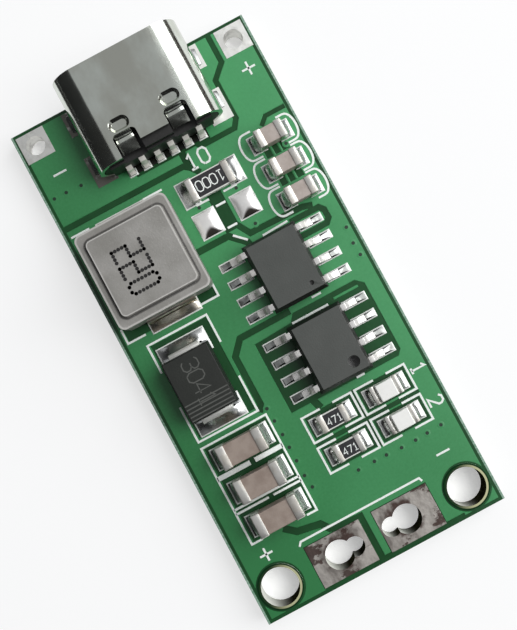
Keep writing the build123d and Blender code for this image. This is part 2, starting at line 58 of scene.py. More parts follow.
def turned(ahead, right):
    """Rotation that looks along ahead, with right to the right of the picture."""
    ahead = ahead.normalized()
    right = (right - ahead * right.dot(ahead)).normalized()
    return Matrix((right, right.cross(ahead), -ahead)).transposed()


camera = bpy.data.objects.new("camera", bpy.data.cameras.new("camera"))
bpy.context.scene.collection.objects.link(camera)
camera.data.sensor_width = 36
camera.data.lens = CAMERA_LENS
camera.data.clip_start = 0.001
camera.data.clip_end = 10
camera.matrix_world = (Matrix.Translation(Vector(CAMERA_PLACE) * MM)
                       @ turned(CAMERA_AHEAD, CAMERA_RIGHT).to_4x4())
bpy.context.scene.camera = camera
bpy.context.scene.view_settings.view_transform = "Standard"


def panel(name, place, width, height, power):
    """A soft panel that faces the middle of the board; place is in millimetres."""
    lamp = bpy.data.objects.new(name, bpy.data.lights.new(name, "AREA"))
    bpy.context.scene.collection.objects.link(lamp)
    lamp.data.shape = "RECTANGLE"
    lamp.data.size = width * MM
    lamp.data.size_y = height * MM
    lamp.data.energy = power
    lamp.visible_camera = False
    lamp.location = Vector(place) * MM
    lamp.rotation_euler = Vector(place).to_track_quat("Z", "Y").to_euler()


panel("side panel", place=(320, 0, 305), width=480, height=480, power=2.34)


class Shade:
    """A socket in a node tree. Python's operators on it add Math nodes."""

    def __init__(self, tree, socket):
        self.tree = tree
        self.socket = socket

    def node(self, kind, settings, sockets, output=0):
        """Adds a node: first its settings, then the values or links of its sockets."""
        made = self.tree.nodes.new(kind)
        for name, value in settings.items():
            setattr(made, name, value)
        for place, value in sockets.items():
            if isinstance(value, Shade):
                self.tree.links.new(value.socket, made.inputs[place])
            else:
                made.inputs[place].default_value = value
        return Shade(self.tree, made.outputs[output])

    def maths(self, operation, first, second):
        return self.node("ShaderNodeMath", {"operation": operation}, {0: first, 1: second})

    def __add__(self, other):
        return self.maths("ADD", self, other)

    def __sub__(self, other):
        return self.maths("SUBTRACT", self, other)

    def __rsub__(self, other):
        return self.maths("SUBTRACT", other, self)

    def __mul__(self, other):
        return self.maths("MULTIPLY", self, other)

    __radd__ = __add__
    __rmul__ = __mul__

    def absolute(self):
        """The value without its sign."""
        return self.maths("ABSOLUTE", self, 0.0)

    def sign(self):
        """-1 for a value below 0 and 1 for one above it."""
        return self.maths("SIGN", self, 0.0)

    def most(self, other):
        """The greater of two values."""
        return self.maths("MAXIMUM", self, other)

    def slant(self, other):
        """Long side of a right-angled triangle whose short sides are the two values."""
        return self.maths("SQRT", self * self + other * other, 0.0)

    def step(self, low, high):
        """Smooth step from 0 at low to 1 at high."""
        return self.node("ShaderNodeMapRange", {"interpolation_type": "SMOOTHSTEP"},
                         {"Value": self, "From Min": low, "From Max": high})

    def mix(self, low, high):
        """Colour low where this is 0 and colour high where it is 1."""
        return self.node("ShaderNodeMix", {"data_type": "RGBA"}, {0: self, 6: low, 7: high}, 2)

    def part(self, axis):
        """One coordinate of a vector: 0, 1 or 2."""
        return self.node("ShaderNodeSeparateXYZ", {}, {0: self}, axis)

    def stretched(self, x, y, z):
        """The vector with each coordinate multiplied."""
        return self.node("ShaderNodeVectorMath", {"operation": "MULTIPLY"}, {0: self, 1: (x, y, z)})

    def noise(self, scale, detail=2.0, roughness=0.5):
        """Soft noise with this many lumps a millimetre."""
        return self.node("ShaderNodeTexNoise", {},
                         {"Vector": self, "Scale": scale, "Detail": detail, "Roughness": roughness})


def chart(red, green, blue):
    """Linear colour from the 0 to 255 values of a colour chart."""
    values = []
    for value in (red / 255, green / 255, blue / 255):
        values.append(value / 12.92 if value <= 0.04045 else ((value + 0.055) / 1.055) ** 2.4)
    return (*values, 1.0)


class Finish:
    """A material, with its place on the piece in millimetres and its shader."""

    def __init__(self, name, **sockets):
        self.material = bpy.data.materials.new(name)
        self.material.use_nodes = True
        tree = self.material.node_tree
        self.shader = next(node for node in tree.nodes if node.type == "BSDF_PRINCIPLED")
        start = Shade(tree, tree.nodes.new("ShaderNodeTexCoord").outputs["Object"])
        self.place = start.stretched(1 / MM, 1 / MM, 1 / MM)
        self.normal = Shade(tree, tree.nodes.new("ShaderNodeNewGeometry").outputs["Normal"])
        self.set(**sockets)

    def set(self, **sockets):
        """Sets or links sockets of the shader; an underscore stands for a space."""
        for name, value in sockets.items():
            socket = self.shader.inputs[name.replace("_", " ")]
            if isinstance(value, Shade):
                self.material.node_tree.links.new(value.socket, socket)
            else:
                socket.default_value = value

    def bump(self, height, depth):
        """Bumps of this depth in millimetres where the height goes from 0 to 1."""
        self.set(Normal=height.node("ShaderNodeBump", {}, {"Height": height, "Distance": depth * MM}))

    def lying(self, low, high):
        """1 on faces that look straight up or down and 0 on upright ones."""
        return (self.normal.part(2) * self.normal.part(2)).step(low, high)


def sheet(name, corners, finish):
    """One flat sheet of the studio; its corners are in millimetres."""
    mesh = bpy.data.meshes.new(name)
    mesh.from_pydata([Vector(corner) * MM for corner in corners], [], [(0, 1, 2, 3)])
    mesh.materials.append(finish.material)
    made = bpy.data.objects.new(name, mesh)
    bpy.context.scene.collection.objects.link(made)
    return made


half = TABLE_SIZE / 2
table_finish = Finish("white table", Roughness=0.9)
table_corners = ((-half, -half), (half, -half), (half, half), (-half, half))
sheet("table", [(x, y, -TABLE_DROP) for x, y in table_corners], table_finish)
card_finish = Finish("dark card", Base_Color=chart(12, 12, 12), Roughness=0.9)
left_card = sheet("left card", [(-170, -300, 0), (-170, 300, 0), (-170, 300, 370), (-170, -300, 370)],
                  card_finish)
end_card = sheet("end card", [(-300, -200, 30), (100, -200, 30), (100, -200, 480), (-300, -200, 480)],
                 card_finish)
low_card = sheet("low card", [(-170, -60, 0), (-14, -60, 0), (-14, 60, 0), (-170, 60, 0)], card_finish)
brown_finish = Finish("brown card", Base_Color=chart(74, 52, 42), Roughness=0.9)
brown_card = sheet("brown card", [(180, -200, 0), (180, 200, 0), (180, 200, 80), (180, -200, 80)],
                   brown_finish)
for card in (low_card, brown_card):
    card.visible_diffuse = card.visible_shadow = False
for card in (left_card, end_card, low_card, brown_card):
    card.visible_camera = False


def rays(tree, *kinds):
    """1 for rays of light of these kinds."""
    path = tree.nodes.new("ShaderNodeLightPath")
    return sum(Shade(tree, path.outputs[kind]) for kind in kinds)


# These compare with the squares of the board's half width and half length.
across_squared = table_finish.place.part(0) * table_finish.place.part(0)
along_squared = table_finish.place.part(1) * table_finish.place.part(1)
under_board = (1 - across_squared.step(72.0, 76.0)) * (1 - along_squared.step(322.0, 328.0))
seen = rays(table_finish.material.node_tree, "Is Camera Ray", "Is Glossy Ray", "Is Transmission Ray")
table_finish.set(Base_Color=under_board.mix(chart(150, 151, 152), chart(243, 243, 243)),
                 Emission_Color=under_board.mix(chart(255, 255, 255), chart(188, 188, 188)),
                 Emission_Strength=seen * TABLE_GLOW)

world = bpy.data.worlds.new("studio")
bpy.context.scene.world = world
world.use_nodes = True
background = next(node for node in world.node_tree.nodes if node.type == "BACKGROUND")
background.inputs["Color"].default_value = (0.97, 0.98, 1.0, 1.0)
strength = rays(world.node_tree, "Is Camera Ray") * (1 - ROOM_LEVEL) + ROOM_LEVEL
world.node_tree.links.new(strength.socket, background.inputs["Strength"])


# The laminate: woven glass and resin, sawn to size, with green solder mask on
# both faces. Where no copper lies under the mask it looks dark.
def dressed(node, finish):
    """Gives a CAD node its material."""
    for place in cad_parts[node].material_slots:
        place.material = finish.material


BOARD_TOP = 1.6
MASK_BARE = chart(12, 64, 27)
MASK_BARE_WORN = chart(19, 76, 36)
laminate = Finish("masked laminate", Specular_IOR_Level=0.35)
cloudy = laminate.place.noise(0.35, 3.0).step(0.3, 0.7)
mask_colour = cloudy.mix(MASK_BARE, MASK_BARE_WORN)
layers = laminate.place.stretched(0.6, 0.6, 9.0).noise(1.2, 3.0).step(0.35, 0.65)
fibre_colour = layers.mix(chart(150, 158, 140), chart(186, 190, 172))
on_face = laminate.lying(0.4, 0.6)
laminate.set(Base_Color=on_face.mix(fibre_colour, mask_colour), Roughness=0.75 - on_face * 0.45)
laminate.bump(laminate.place.stretched(1, 1, 4).noise(2.5, 4.0), 0.012)
dressed("circuit_board", laminate)


# Copper under the mask: one thin sheet with etched channels between its areas,
# and a few short traces in them. It stands a little above the bare laminate and
# looks a lighter green.
COPPER_TOP = 1.635
COPPER_FOOT = 1.59
COPPER_HALF_WIDTH = 8.36
COPPER_BACK = -17.85
COPPER_FRONT = 17.88
CHANNEL_FLARE = 0.07
CUTTER_SPARE = 0.02
CHANNELS = (
    (0.32, ((6.03, 18.2), (6.03, 15.92), (5.09, 15.03), (5.09, 12.16), (4.7, 11.62), (2.27, 11.62),
            (1.93, 11.97))),
    (0.36, ((-8.41, 10.98), (0.49, 10.98), (0.84, 10.73), (1.34, 10.09))),
    (0.42, ((0.84, 12.07), (0.84, 10.88))),
    (0.95, ((1.43, 8.6), (1.43, 5.69))),
    (0.4, ((-1.58, 5.49), (0.94, 5.49), (1.88, 4.55), (1.98, 4.15))),
    (0.36, ((1.78, 5.93), (2.32, 4.99), (6.13, 4.9), (6.82, 4.67))),
    (0.34, ((4.95, 4.37), (7.07, 4.37), (7.34, 4.05), (7.34, 3.46), (7.07, 3.18), (4.95, 3.18))),
    (0.38, ((2.18, -0.77), (-1.58, -0.81), (-2.42, -1.73), (-2.42, -5.24), (-2.72, -5.69))),
    (0.3, ((3.24, -7.22), (3.24, -11.37))),
    (0.26, ((-0.49, -9.35), (7.12, -9.35))),
    (0.42, ((-4.95, -13.05), (-4.25, -13.65), (-2.67, -13.94), (-2.18, -14.59))),
    (0.4, ((-2.27, -14.62), (-0.15, -14.74), (-0.15, -17.7))),
    (0.14, ((-4.35, -17.78), (5.93, -17.78))),
    (0.25, ((6.33, 10.88), (6.87, 11.37), (8.33, 11.37))),
    (0.45, ((0.74, -6.63), (0.94, -7.32))),
)
BARE_AREAS = (
    ((-0.87, -1.66), (1.88, -1.53), (2.27, -1.01), (6.82, -1.01), (7.34, -1.48), (7.34, -6.33),
     (7.02, -6.68), (-0.87, -6.68)),
    ((-0.3, -7.37), (3.02, -7.37), (3.02, -9), (-0.3, -9)),
    ((-0.3, -9.64), (3.02, -9.64), (3.02, -11.23), (-0.3, -11.23)),
    ((3.56, -7.37), (6.92, -7.37), (6.92, -9), (3.56, -9)),
    ((3.56, -9.64), (6.92, -9.64), (6.92, -11.23), (3.56, -11.23)),
    ((-6.97, 1.48), (-2.92, 1.48), (-2.92, -5.29), (-6.97, -5.29)),
    ((-7.02, -6.13), (-2.57, -6.13), (-2.57, -12.86), (-7.02, -12.86)),
    ((-8.06, 10.09), (-1.58, 10.09), (-1.58, 2.47), (-8.06, 2.47)),
    ((5.69, 9.4), (7.27, 9.4), (7.27, 8.8), (5.69, 8.8)),
    ((5.69, 7.27), (7.27, 7.27), (7.27, 6.73), (5.69, 6.73)),
    ((-2.47, 13.45), (2.97, 13.45), (2.97, 11.82), (-2.47, 11.82)),
)
CORNER_HOLE = (6.87, -16.275)
SUPPLY_HOLE = (7.45, 16.9)
ROUND_CLEARANCES = ((CORNER_HOLE, 1.6), (SUPPLY_HOLE, 0.9))
CIRCLE_STEPS = 48
SQUARE_CLEARANCES = ((-2.355, -16.275, 4.1, 3.05), (2.595, -16.275, 4.1, 3.05))
TRACES = (
    (0.2, ((5.1, -1.42), (6.9, -1.42))),
    (0.22, ((6.2, 9.45), (6.2, 8.75))),
    (0.22, ((6.75, 9.45), (6.75, 8.75))),
    (0.22, ((6.2, 7.3), (6.2, 6.7))),
    (0.22, ((6.75, 7.3), (6.75, 6.7))),
)


def prism(form, lower, upper):
    """Closed solid between two outlines with the same number of points."""
    low = [form.verts.new(Vector(point) * MM) for point in lower]
    high = [form.verts.new(Vector(point) * MM) for point in upper]
    form.faces.new(low)
    form.faces.new(high)
    for i in range(len(low)):
        j = (i + 1) % len(low)
        form.faces.new((low[i], low[j], high[j], high[i]))


def ribbon(form, points, width, low, high, flare=0.0):
    """Closed strip along a line of points; flare widens its top."""
    sides = []
    for i, point in enumerate(points):
        before = Vector(points[max(i - 1, 0)])
        after = Vector(points[min(i + 1, len(points) - 1)])
        here = Vector(point)
        first = (here - before).normalized() if i else (after - here).normalized()
        second = (after - here).normalized() if i < len(points) - 1 else first
        along = (first + second).normalized()
        across = Vector((-along.y, along.x)) / max(along.dot(first), 0.5)
        sides.append((here, across))
    rings = []
    for level, half_width in ((low, width / 2), (high, width / 2 + flare)):
        left = [(*(here + across * half_width), level) for here, across in sides]
        right = [(*(here - across * half_width), level) for here, across in sides]
        rings.append(left + right[::-1])
    prism(form, *rings)


def placed(name, form, finish, smooth=0.0, second=None):
    """A piece from a bmesh in metres, with its materials and its faces turned outwards."""
    bmesh.ops.recalc_face_normals(form, faces=form.faces)
    mesh = bpy.data.meshes.new(name)
    form.to_mesh(mesh)
    form.free()
    mesh.materials.append(finish.material)
    if second:
        mesh.materials.append(second.material)
    if smooth:
        mesh.shade_smooth()
        mesh.set_sharp_from_angle(angle=math.radians(smooth))
    piece = bpy.data.objects.new(name, mesh)
    bpy.context.scene.collection.objects.link(piece)
    return piece


def settled(piece):
    """Makes what a piece's modifiers give into its plain mesh."""
    graph = bpy.context.evaluated_depsgraph_get()
    made = bpy.data.meshes.new_from_object(piece.evaluated_get(graph), depsgraph=graph)
    piece.modifiers.clear()
    piece.data = made


def circle(x, y, radius, level):
    """Points of a round outline."""
    turns = [2 * math.pi * i / CIRCLE_STEPS for i in range(CIRCLE_STEPS)]
    return [(x + radius * math.cos(a), y + radius * math.sin(a), level) for a in turns]


def rectangle(x, y, width, length, level):
    """Points of a square-cornered outline round a middle."""
    return [(x + i * width / 2, y + j * length / 2, level) for i, j in ((-1, -1), (1, -1), (1, 1), (-1, 1))]


MASK_COPPER = chart(76, 158, 102)
MASK_COPPER_DEEP = chart(48, 122, 70)
masked_copper = Finish("masked copper", Specular_IOR_Level=0.4, Roughness=0.3)
# Painted light: the green is paler towards +X and +Y, where the light falls stronger.
painted_light_falloff = masked_copper.place.part(0) * 0.036 + masked_copper.place.part(1) * 0.012 + 0.28
broad = masked_copper.place.noise(0.12, 2.0).step(0.3, 0.7)
fine = masked_copper.place.noise(6.0, 3.0).step(0.25, 0.75)
masked_copper.set(Base_Color=(painted_light_falloff + broad * 0.25 + fine * 0.15).mix(MASK_COPPER_DEEP, MASK_COPPER))
masked_copper.bump(masked_copper.place.noise(1.6, 3.0), 0.01)

form = bmesh.new()
border = [(-COPPER_HALF_WIDTH, COPPER_BACK), (COPPER_HALF_WIDTH, COPPER_BACK),
          (COPPER_HALF_WIDTH, COPPER_FRONT), (-COPPER_HALF_WIDTH, COPPER_FRONT)]
prism(form, [(*p, COPPER_FOOT) for p in border], [(*p, COPPER_TOP) for p in border])
copper = placed("masked_copper", form, masked_copper)
form = bmesh.new()
deep, proud = COPPER_FOOT - CUTTER_SPARE, COPPER_TOP + CUTTER_SPARE
for width, line in CHANNELS:
    ribbon(form, line, width, deep, proud, CHANNEL_FLARE)
for outline in BARE_AREAS:
    centre = sum((Vector(p) for p in outline), Vector((0, 0))) / len(outline)
    spread = [(x + math.copysign(CHANNEL_FLARE, x - centre.x),
               y + math.copysign(CHANNEL_FLARE, y - centre.y)) for x, y in outline]
    prism(form, [(*p, deep) for p in outline], [(*p, proud) for p in spread])
for (x, y), radius in ROUND_CLEARANCES:
    for side in (-1, 1):
        prism(form, circle(side * x, y, radius, deep), circle(side * x, y, radius + CHANNEL_FLARE, proud))
for x, y, width, length in SQUARE_CLEARANCES:
    prism(form, rectangle(x, y, width, length, deep), rectangle(x, y, width, length, proud))
cutter = placed("channel cutter", form, masked_copper)
cut = copper.modifiers.new("channels", "BOOLEAN")
cut.operation = "DIFFERENCE"
cut.solver = "EXACT"
cut.use_self = True
cut.object = cutter
settled(copper)
bpy.data.objects.remove(cutter)
form = bmesh.new()
for width, line in TRACES:
    ribbon(form, line, width, COPPER_FOOT, COPPER_TOP, -CHANNEL_FLARE)
traces = placed("masked_traces", form, masked_copper)
for piece in (copper, traces):
    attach(piece, "root")


# Scored edges: the boards were snapped out of a panel, which left a narrow strip
# of bare sawn laminate along both long sides.
SCORE_WIDTH = 0.13
SCORE_FOOT = BOARD_TOP - 0.05
SCORE_TOP = BOARD_TOP + 0.006
BOARD_HALF_WIDTH = 8.7
BOARD_HALF_LENGTH = 18.1
scored = Finish("sawn laminate", Roughness=0.75)
threads = scored.place.stretched(0.4, 3.0, 1.0).noise(3.0, 4.0, 0.7).step(0.3, 0.7)
scored.set(Base_Color=threads.mix(chart(96, 142, 114), chart(160, 186, 170)))
scored.bump(threads, 0.01)
form = bmesh.new()
for side in (-1, 1):
    x = side * (BOARD_HALF_WIDTH - SCORE_WIDTH / 2 - 0.005)
    line = ((x, -BOARD_HALF_LENGTH + 0.01), (x, BOARD_HALF_LENGTH - 0.01))
    ribbon(form, line, SCORE_WIDTH, SCORE_FOOT, SCORE_TOP)
edges = placed("scored_edges", form, scored)
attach(edges, "root")


# Closed vias: plated through and filled by the mask, so each is a low collar
# with a dark dimple.
VIA_COLLAR = 0.27
VIA_DIMPLE = 0.12
VIA_HEIGHT = 0.012
VIAS = ((-8.01, 13.15), (-7.12, 13.15), (-6.03, 13.1), (0.15, 8.06), (2.92, 8.06), (2.92, 5.39),
        (8.06, 2.32), (7.96, 1.19), (8.01, 0.3), (-2.18, -5.69), (-2.13, -6.63), (-2.08, -7.66),
        (-2.08, -8.6), (-2.08, -9.59), (-2.08, -10.68), (-1.98, -11.57), (1.19, -12.02), (2.37, -12.02),
        (3.26, -12.02), (4.35, -12.07), (5.39, -12.07), (6.28, -12.02), (7.32, -11.97), (7.22, 9.1))
via_dark = Finish("via dimple", Roughness=0.4)
via_dark.set(Base_Color=via_dark.place.noise(8.0).mix(chart(14, 34, 22), chart(26, 58, 38)))


class Nodes:
    """A Geometry Nodes tree, with named inputs."""

    def __init__(self, name, inputs):
        self.tree = bpy.data.node_groups.new(name, "GeometryNodeTree")
        self.tree.is_modifier = True
        self.tree.interface.new_socket("Geometry", in_out="INPUT", socket_type="NodeSocketGeometry")
        for title, kind in inputs.items():
            self.tree.interface.new_socket(title, in_out="INPUT", socket_type="NodeSocket" + kind)
        self.tree.interface.new_socket("Geometry", in_out="OUTPUT", socket_type="NodeSocketGeometry")
        self.given = self.tree.nodes.new("NodeGroupInput")

    def add(self, kind, sockets):
        """Adds a node; a text value names one of the tree's inputs."""
        made = self.tree.nodes.new("GeometryNode" + kind)
        for place, value in sockets.items():
            if isinstance(value, str):
                self.tree.links.new(self.given.outputs[value], made.inputs[place])
            elif isinstance(value, bpy.types.NodeSocket):
                self.tree.links.new(value, made.inputs[place])
            else:
                made.inputs[place].default_value = value
        return made.outputs[0]

    def finish(self, *parts):
        """Joins the parts, makes their instances real and ends the tree."""
        joined = self.tree.nodes.new("GeometryNodeJoinGeometry")
        for part in parts:
            self.tree.links.new(part, joined.inputs[0])
        real = self.add("RealizeInstances", {0: joined.outputs[0]})
        self.tree.links.new(real, self.tree.nodes.new("NodeGroupOutput").inputs[0])

    def run(self, name, points, values):
        """A plain mesh of the tree's work on these points; values go to its inputs."""
        mesh = bpy.data.meshes.new(name)
        mesh.from_pydata([Vector(point) * MM for point in points], [], [])
        piece = bpy.data.objects.new(name, mesh)
        bpy.context.scene.collection.objects.link(piece)
        modifier = piece.modifiers.new(name, "NODES")
        modifier.node_group = self.tree
        for item in self.tree.interface.items_tree:
            if item.in_out == "INPUT" and item.name in values:
                modifier[item.identifier] = values[item.name]
        settled(piece)
        return piece


def dots(nodes, radius, top_radius, height, material):
    """Low round dots on the tree's points, all of one material."""
    dot = nodes.add("MeshCone", {"Vertices": 20, "Radius Top": top_radius, "Radius Bottom": radius,
                                 "Depth": height})
    spread = nodes.add("InstanceOnPoints", {"Points": "Geometry", "Instance": dot})
    return nodes.add("SetMaterial", {"Geometry": spread, "Material": material})


via_nodes = Nodes("closed vias", {"Collar radius": "Float", "Collar top": "Float", "Collar height": "Float",
                                  "Dimple radius": "Float", "Dimple height": "Float",
                                  "Mask": "Material", "Dimple": "Material"})
via_nodes.finish(dots(via_nodes, "Collar radius", "Collar top", "Collar height", "Mask"),
                 dots(via_nodes, "Dimple radius", "Dimple radius", "Dimple height", "Dimple"))
vias = via_nodes.run("closed_vias", [(x, y, COPPER_TOP - 0.002) for x, y in VIAS], {
    "Collar radius": VIA_COLLAR * MM, "Collar top": 0.6 * VIA_COLLAR * MM, "Collar height": VIA_HEIGHT * MM,
    "Dimple radius": VIA_DIMPLE * MM, "Dimple height": 1.3 * VIA_HEIGHT * MM,
    "Mask": masked_copper.material, "Dimple": via_dark.material})
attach(vias, "root")


# The legend: white ink screened on the mask, in lines about 0.17 mm wide. It
# outlines the parts, and plain numbers and polarity signs stand by some.
INK_FOOT = COPPER_TOP - 0.03
INK_TOP = COPPER_TOP + 0.018
INK_WIDTH = 0.17
INK_FLARE = -0.02
INK_LINES = (
    ((-7.17, -0.4), (-7.17, 1.63), (-2.77, 1.63), (-2.77, -0.4)),
    ((-7.17, -2.92), (-7.17, -5.52), (-2.77, -5.52), (-2.77, -2.92)),
    ((-6.43, -13.01), (-7.22, -13.01), (-7.22, -5.98), (-2.42, -5.98), (-2.42, -13.01), (-3.16, -13.01)),
    ((-7.22, -10.53), (-2.42, -10.53)),
    ((-7.22, -10.83), (-4.8, -10.83)),
    ((-4.45, -10.83), (-2.42, -10.83)),
    ((-6.89, 10.31), (-8.25, 10.31)),
    ((-2.87, 10.31), (-1.46, 10.31)),
    ((-6.89, 2.36), (-8.2, 2.36), (-8.2, 3.42)),
    ((-2.87, 2.36), (-1.46, 2.36), (-1.46, 3.42)),
    ((0.86, -7.34), (-0.51, -7.34), (-0.51, -9.15), (0.86, -9.15)),
    ((1.78, -7.34), (3.12, -7.34), (3.12, -9.15), (1.78, -9.15)),
    ((4.8, -7.34), (3.41, -7.34), (3.41, -9.15), (4.8, -9.15)),
    ((5.74, -7.34), (7.07, -7.34), (7.07, -9.15), (5.74, -9.15)),
    ((0.86, -9.55), (-0.51, -9.55), (-0.51, -11.38), (0.86, -11.38)),
    ((1.78, -9.55), (3.12, -9.55), (3.12, -11.38), (1.78, -11.38)),
    ((4.8, -9.55), (3.41, -9.55), (3.41, -11.38), (4.8, -11.38)),
    ((5.74, -9.55), (7.07, -9.55), (7.07, -11.38), (5.74, -11.38)),
    ((-4.55, -14.59), (-4.35, -14.34), (4.4, -14.34), (4.5, -14.59)),
    ((2.97, 4.45), (4.85, 4.53)),
    ((3.86, -0.67), (4.55, -0.67)),
    ((1.93, -1.58), (4.6, -1.58)),
    ((3.96, -6.68), (4.55, -6.68)),
    ((1.24, 5.39), (1.98, 4.67)),
    ((1.17, 7.62), (1.88, 7.62)),
    ((1.17, 5.98), (1.88, 5.98)),
    ((0.05, 8.26), (0.99, 8.26)),
    ((2.08, 8.26), (3.07, 8.26)),
)
THICK_INK_LINES = (
    ((-7.22, -8.26), (-4.8, -8.26)),
    ((-4.45, -8.26), (-2.42, -8.26)),
)
INPUT_ROWS = (9.99, 7.91, 5.83)
BRACKET_HALF = 0.94
GLYPHS = {
    "0": (((0.15, 0), (0.45, 0), (0.6, 0.2), (0.6, 0.8), (0.45, 1), (0.15, 1), (0, 0.8), (0, 0.2),
           (0.15, 0)),),
    "1": (((0.08, 0.78), (0.3, 1), (0.3, 0)), ((0.08, 0), (0.52, 0))),
    "2": (((0, 0.82), (0.15, 1), (0.45, 1), (0.6, 0.82), (0.6, 0.6), (0, 0), (0.6, 0)),),
    "3": (((0, 0.88), (0.15, 1), (0.45, 1), (0.6, 0.85), (0.6, 0.65), (0.42, 0.52), (0.2, 0.52)),
          ((0.42, 0.52), (0.6, 0.38), (0.6, 0.15), (0.45, 0), (0.15, 0), (0, 0.12))),
    "4": (((0.45, 0), (0.45, 1), (0, 0.32), (0.6, 0.32)),),
    "7": (((0, 1), (0.6, 1), (0.22, 0)),),
    "+": (((0, 0.5), (0.6, 0.5)), ((0.3, 0.2), (0.3, 0.8))),
    "-": (((0, 0.5), (0.6, 0.5)),),
}
LEGEND_SIGNS = (
    ("-", -6.4, 15.3, 1.6, 180),
    ("+", 7.9, 15.5, 1.6, 180),
    ("+", -7.15, -14.75, 1.5, 0),
    ("-", 6.1, -14.4, 1.6, 0),
    ("1", 7.32, -7.75, 0.93, -90),
    ("2", 7.32, -10.15, 0.93, -90),
    ("10", 0.85, 10.48, 1.05, 0),
)


def lettered(text, x, y, height, turn, spacing=0.85):
    """Lines of a text from its lower left corner, turned by degrees."""
    cosine, sine = math.cos(math.radians(turn)), math.sin(math.radians(turn))
    lines = []
    for i, sign in enumerate(text):
        for line in GLYPHS[sign]:
            upright = [((u + i * spacing) * height, v * height) for u, v in line]
            lines.append([(x + a * cosine - b * sine, y + a * sine + b * cosine) for a, b in upright])
    return lines


def curved_bracket(start, corner, tip, y):
    """Line of one rounded bracket beside an input capacitor, from start round the tip and back."""
    line = [(start, y + BRACKET_HALF)]
    for i in range(13):
        a = math.pi * (0.5 - i / 12)
        reach = math.cos(a) ** 0.8 if 0 < i < 12 else 0.0
        line.append((corner + (tip - corner) * reach, y + BRACKET_HALF * math.sin(a)))
    return line + [(start, y - BRACKET_HALF)]


def inked(form, line, width=INK_WIDTH):
    """One line of ink on the mask."""
    ribbon(form, line, width, INK_FOOT, INK_TOP, INK_FLARE)


ink = Finish("legend ink", Roughness=0.55)
wear = ink.place.noise(9.0, 4.0).step(0.55, 0.75)
ink.set(Base_Color=wear.mix(chart(246, 250, 247), chart(206, 226, 214)))
ink.bump(ink.place.noise(14.0, 2.0), 0.006)
form = bmesh.new()
for line in INK_LINES:
    inked(form, line)
for line in THICK_INK_LINES:
    inked(form, line, 2 * INK_WIDTH)
for y in INPUT_ROWS:
    inked(form, curved_bracket(5.5, 4.95, 4.4, y))
    inked(form, curved_bracket(7.4, 7.85, 8.4, y))
for sign in LEGEND_SIGNS:
    for line in lettered(*sign):
        inked(form, line)
legend = placed("legend", form, ink)
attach(legend, "root")


# Plated holes: copper with a tin skin, whose walls and rings carry painted shade on one
# side. The battery lands are scorched and smeared, and the socket's leg lands carry painted shade towards
# -X.
def tinned(name, bright, dull, smears, roughness):
    """Tin skin: bright metal with dull patches, fine ripples and dark smears."""
    finish = Finish(name, Metallic=1.0)
    patches = finish.place.noise(1.1, 3.0).step(0.42, 0.62)
    dark = finish.place.stretched(1.0, 0.45, 1.0).noise(0.9, 5.0, 0.6).step(0.56, 0.7)
    colour = patches.mix(bright, dull)
    finish.set(Base_Color=(dark * smears).mix(colour, chart(92, 84, 78)),
               Roughness=patches * 0.18 + roughness)
    finish.bump(finish.place.noise(1.8, 1.0), 0.012)
    return finish


def around(finish, x, y):
    """Distance in millimetres from upright lines at both x and -x, and at y."""
    return (finish.place.part(0).absolute() - x).slant(finish.place.part(1) - y)


def away_from_painted_shade(across, along):
    """How far a place or a direction lies away from the side of a hole that carries painted shade."""
    return across * 0.88 - along * 0.47


def walled(finish, colour, metal):
    """Gives the upright walls of a plated hole bright tin, with painted shade on one side."""
    flat = finish.lying(0.35, 0.6)
    # Painted shade: the wall is dark on the side of the hole away from the light.
    painted_hole_light_side = away_from_painted_shade(finish.normal.part(0), finish.normal.part(1)).step(-0.7, 0.6)
    wall = painted_hole_light_side.mix(chart(34, 34, 22), chart(226, 228, 220))
    finish.set(Base_Color=flat.mix(wall, colour), Metallic=flat * metal)


bright_tin = tinned("bright tin", chart(240, 240, 236), chart(214, 214, 210), 0.1, 0.36)
for node in ("supply_ground_terminal", "supply_positive_terminal"):
    dressed(node, bright_tin)
leg_tin = Finish("leg land tin", Metallic=0.6, Roughness=0.4)
# Painted shade: the leg lands are darker towards -X, in patches.
painted_leg_shade = (1 - leg_tin.place.part(0).step(-4.0, 4.0)) * leg_tin.place.noise(1.5, 3.0).step(0.2, 0.5)
leg_tin.set(Base_Color=painted_leg_shade.mix(chart(238, 238, 234), chart(108, 106, 100)))
dressed("socket_leg_slots", leg_tin)
collar_tin = Finish("collar tin", Roughness=0.5, Specular_IOR_Level=0.0)
# Painted light and shade: each hole's ring is light on one side and dark on the other; the band outside it
# is dark green, partly the mask's colour and partly painted shade.
outside_ring = around(collar_tin, *CORNER_HOLE).step(1.4, 1.44)
hole_middle = collar_tin.place.part(0).sign() * CORNER_HOLE[0]
painted_hole_light_side = away_from_painted_shade(collar_tin.place.part(0) - hole_middle, collar_tin.place.part(1) - CORNER_HOLE[1])
ring_painted_light_and_shade = painted_hole_light_side.step(-0.8, 0.9).mix(chart(40, 60, 38), chart(196, 196, 156))
walled(collar_tin, outside_ring.mix(ring_painted_light_and_shade, chart(20, 54, 30)), 0.3)
for node in ("battery_positive_hole", "battery_ground_hole"):
    dressed(node, collar_tin)
dull_tin = Finish("handled tin", Roughness=0.5, Specular_IOR_Level=0.0)
rubbed = dull_tin.place.stretched(1.0, 0.5, 1.0).noise(0.7, 5.0, 0.62)
burnt = dull_tin.place.stretched(0.7, 1.0, 1.0).noise(0.55, 6.0, 0.66).step(0.545, 0.585)
rubbed_colour = rubbed.step(0.35, 0.65).mix(chart(188, 183, 177), chart(122, 116, 111))
from_iron = around(dull_tin, 2.2, -16.15) + dull_tin.place.noise(1.3, 4.0) * 1.6
scorched = (1 - from_iron.step(1.8, 2.15)).most(burnt)
walled(dull_tin, (scorched * 0.9).mix(rubbed_colour, chart(74, 58, 54)), 0.7)
